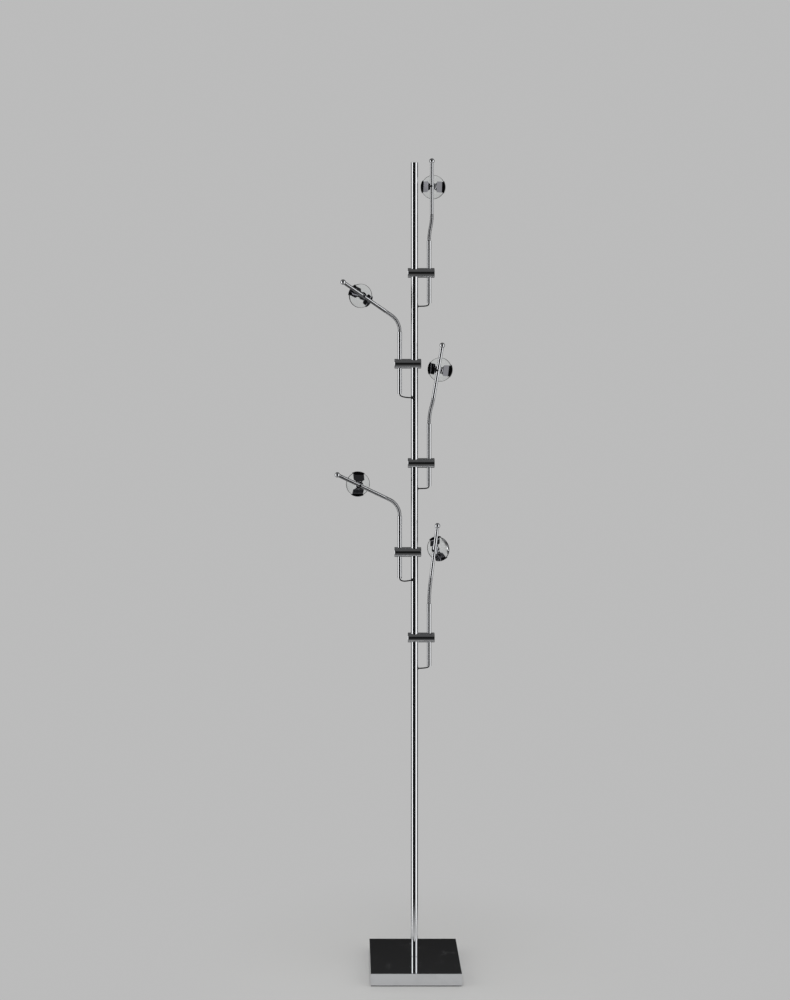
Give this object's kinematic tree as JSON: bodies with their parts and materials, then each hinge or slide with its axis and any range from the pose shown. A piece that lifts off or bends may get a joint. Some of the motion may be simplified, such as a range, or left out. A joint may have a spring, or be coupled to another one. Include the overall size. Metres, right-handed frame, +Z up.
{
  "type": "tree floor lamp",
  "caption": "Floor lamp with a square base, a slim pole and bendable arms clamped to it, each ending in a round glass lens on a sprung strap.",
  "frame": {"origin": "centre of the base's underside, where its pad meets the floor", "axes": "+Z up along the pole, +Y the way the heads shine, +X to the right of someone behind the heads"},
  "size_m": [0.2789, 0.2015, 1.8196],
  "materials": {
    "chrome": "polished",
    "steel": "satin",
    "black_rubber": "matte",
    "black_plastic": "matte",
    "lead_sheath": "satin",
    "lens_glass": "clear, polished",
    "bulb_glass": "clear, polished"
  },
  "bodies": {
    "stand": {"base_shell": "chrome", "base_weight": "steel", "base_floor_plate": "steel", "base_pad": "black_rubber", "driver": "black_plastic", "base_fasteners": "steel", "pole_lower": "chrome", "pole_upper": "chrome", "pole_cap": "chrome", "cable_grommets": "black_rubber", "lead_1": "lead_sheath", "lead_2": "lead_sheath", "lead_3": "lead_sheath", "lead_4": "lead_sheath", "lead_5": "lead_sheath"},
    "arm_1_clamp": {"clamp_1": "chrome", "clamp_screws_1": "steel"},
    "arm_1_stem": {"stem_1": "chrome"},
    "arm_1_neck": {"neck_1": "chrome"},
    "arm_1_rod": {"rod_1": "chrome"},
    "arm_1_head": {"holder_1": "chrome", "strap_1": "chrome", "bulb_1": "bulb_glass", "lens_1": "lens_glass"},
    "arm_2_clamp": {"clamp_2": "chrome", "clamp_screws_2": "steel"},
    "arm_2_stem": {"stem_2": "chrome"},
    "arm_2_neck": {"neck_2": "chrome"},
    "arm_2_rod": {"rod_2": "chrome"},
    "arm_2_head": {"holder_2": "chrome", "strap_2": "chrome", "bulb_2": "bulb_glass", "lens_2": "lens_glass"},
    "arm_3_clamp": {"clamp_3": "chrome", "clamp_screws_3": "steel"},
    "arm_3_stem": {"stem_3": "chrome"},
    "arm_3_neck": {"neck_3": "chrome"},
    "arm_3_rod": {"rod_3": "chrome"},
    "arm_3_head": {"holder_3": "chrome", "strap_3": "chrome", "bulb_3": "bulb_glass", "lens_3": "lens_glass"},
    "arm_4_clamp": {"clamp_4": "chrome", "clamp_screws_4": "steel"},
    "arm_4_stem": {"stem_4": "chrome"},
    "arm_4_neck": {"neck_4": "chrome"},
    "arm_4_rod": {"rod_4": "chrome"},
    "arm_4_head": {"holder_4": "chrome", "strap_4": "chrome", "bulb_4": "bulb_glass", "lens_4": "lens_glass"},
    "arm_5_clamp": {"clamp_5": "chrome", "clamp_screws_5": "steel"},
    "arm_5_stem": {"stem_5": "chrome"},
    "arm_5_neck": {"neck_5": "chrome"},
    "arm_5_rod": {"rod_5": "chrome"},
    "arm_5_head": {"holder_5": "chrome", "strap_5": "chrome", "bulb_5": "bulb_glass", "lens_5": "lens_glass"}
  },
  "joints": [
    {"name": "swing_1", "type": "hinge", "parent": "stand", "child": "arm_1_clamp", "pos_m": [0, 0, 1.562], "axis": [0, 0, -1], "range_deg": [-30, 30], "deforming": ["lead_1"]},
    {"name": "turn_1", "type": "hinge", "parent": "arm_1_clamp", "child": "arm_1_stem", "pos_m": [0.033, 0, 1.562], "axis": [0, 0, -1], "range_deg": [-15, 100]},
    {"name": "bend_low_1", "type": "hinge", "parent": "arm_1_stem", "child": "arm_1_neck", "pos_m": [0.03378, 0, 1.64897], "axis": [0, 1, 0], "range_deg": [-4, 45], "deforming": ["neck_1"]},
    {"name": "bend_high_1", "type": "hinge", "parent": "arm_1_neck", "child": "arm_1_rod", "pos_m": [0.03848, 0, 1.67859], "axis": [0, 1, 0], "range_deg": [-4, 45], "deforming": ["neck_1"]},
    {"name": "head_turn_1", "type": "hinge", "parent": "arm_1_rod", "child": "arm_1_head", "pos_m": [0.03926, 0, 1.75656], "axis": [0.1903, 0.9817, 0], "range_deg": [-170, 170]},
    {"name": "swing_2", "type": "hinge", "parent": "stand", "child": "arm_2_clamp", "pos_m": [0, 0, 1.358], "axis": [0, 0, 1], "range_deg": [-30, 30], "deforming": ["lead_2"]},
    {"name": "turn_2", "type": "hinge", "parent": "arm_2_clamp", "child": "arm_2_stem", "pos_m": [-0.033, 0, 1.358], "axis": [0, 0, 1], "range_deg": [-15, 100]},
    {"name": "bend_low_2", "type": "hinge", "parent": "arm_2_stem", "child": "arm_2_neck", "pos_m": [-0.0354, -0.00085, 1.44471], "axis": [0.3338, -0.9426, 0], "range_deg": [-28, 15], "deforming": ["neck_2"]},
    {"name": "bend_high_2", "type": "hinge", "parent": "arm_2_neck", "child": "arm_2_rod", "pos_m": [-0.05296, -0.00707, 1.46748], "axis": [0.3338, -0.9426, 0], "range_deg": [-28, 15], "deforming": ["neck_2"]},
    {"name": "head_turn_2", "type": "hinge", "parent": "arm_2_rod", "child": "arm_2_head", "pos_m": [-0.1149, -0.029, 1.5095], "axis": [-0.3113, 0.9496, 0.0368], "range_deg": [-170, 170]},
    {"name": "swing_3", "type": "hinge", "parent": "stand", "child": "arm_3_clamp", "pos_m": [0, 0, 1.135], "axis": [0, 0, -1], "range_deg": [-30, 30], "deforming": ["lead_3"]},
    {"name": "turn_3", "type": "hinge", "parent": "arm_3_clamp", "child": "arm_3_stem", "pos_m": [0.033, 0, 1.135], "axis": [0, 0, -1], "range_deg": [-15, 100]},
    {"name": "bend_low_3", "type": "hinge", "parent": "arm_3_stem", "child": "arm_3_neck", "pos_m": [0.03369, -0.00042, 1.23797], "axis": [0.521, 0.8536, 0], "range_deg": [-4, 45], "deforming": ["neck_3"]},
    {"name": "bend_high_3", "type": "hinge", "parent": "arm_3_neck", "child": "arm_3_rod", "pos_m": [0.03942, -0.00392, 1.26714], "axis": [0.521, 0.8536, 0], "range_deg": [-4, 45], "deforming": ["neck_3"]},
    {"name": "head_turn_3", "type": "hinge", "parent": "arm_3_rod", "child": "arm_3_head", "pos_m": [0.05251, -0.01191, 1.3436], "axis": [0.2796, 0.9588, 0.0498], "range_deg": [-170, 170]},
    {"name": "swing_4", "type": "hinge", "parent": "stand", "child": "arm_4_clamp", "pos_m": [0, 0, 0.935], "axis": [0, 0, 1], "range_deg": [-30, 30], "deforming": ["lead_4"]},
    {"name": "turn_4", "type": "hinge", "parent": "arm_4_clamp", "child": "arm_4_stem", "pos_m": [-0.033, 0, 0.935], "axis": [0, 0, 1], "range_deg": [-15, 100]},
    {"name": "bend_low_4", "type": "hinge", "parent": "arm_4_stem", "child": "arm_4_neck", "pos_m": [-0.03563, -0.00062, 1.03067], "axis": [0.23, -0.9732, 0], "range_deg": [-28, 15], "deforming": ["neck_4"]},
    {"name": "bend_high_4", "type": "hinge", "parent": "arm_4_neck", "child": "arm_4_rod", "pos_m": [-0.05462, -0.00511, 1.05258], "axis": [0.23, -0.9732, 0], "range_deg": [-28, 15], "deforming": ["neck_4"]},
    {"name": "head_turn_4", "type": "hinge", "parent": "arm_4_rod", "child": "arm_4_head", "pos_m": [-0.12295, -0.02126, 1.08655], "axis": [-0.1971, 0.978, 0.0686], "range_deg": [-170, 170]},
    {"name": "swing_5", "type": "hinge", "parent": "stand", "child": "arm_5_clamp", "pos_m": [0, 0, 0.743], "axis": [0, 0, -1], "range_deg": [-30, 30], "deforming": ["lead_5"]},
    {"name": "turn_5", "type": "hinge", "parent": "arm_5_clamp", "child": "arm_5_stem", "pos_m": [0.033, 0, 0.743], "axis": [0, 0, -1], "range_deg": [-15, 75]},
    {"name": "bend_low_5", "type": "hinge", "parent": "arm_5_stem", "child": "arm_5_neck", "pos_m": [0.03326, -0.00031, 0.83399], "axis": [0.766, 0.6428, 0], "range_deg": [-4, 45], "deforming": ["neck_5"]},
    {"name": "bend_high_5", "type": "hinge", "parent": "arm_5_neck", "child": "arm_5_rod", "pos_m": [0.03532, -0.00277, 0.86381], "axis": [0.766, 0.6428, 0], "range_deg": [-4, 45], "deforming": ["neck_5"]},
    {"name": "head_turn_5", "type": "hinge", "parent": "arm_5_rod", "child": "arm_5_head", "pos_m": [0.04417, -0.01332, 0.94058], "axis": [0.4782, 0.8758, 0.0654], "range_deg": [-170, 170]}
  ]
}
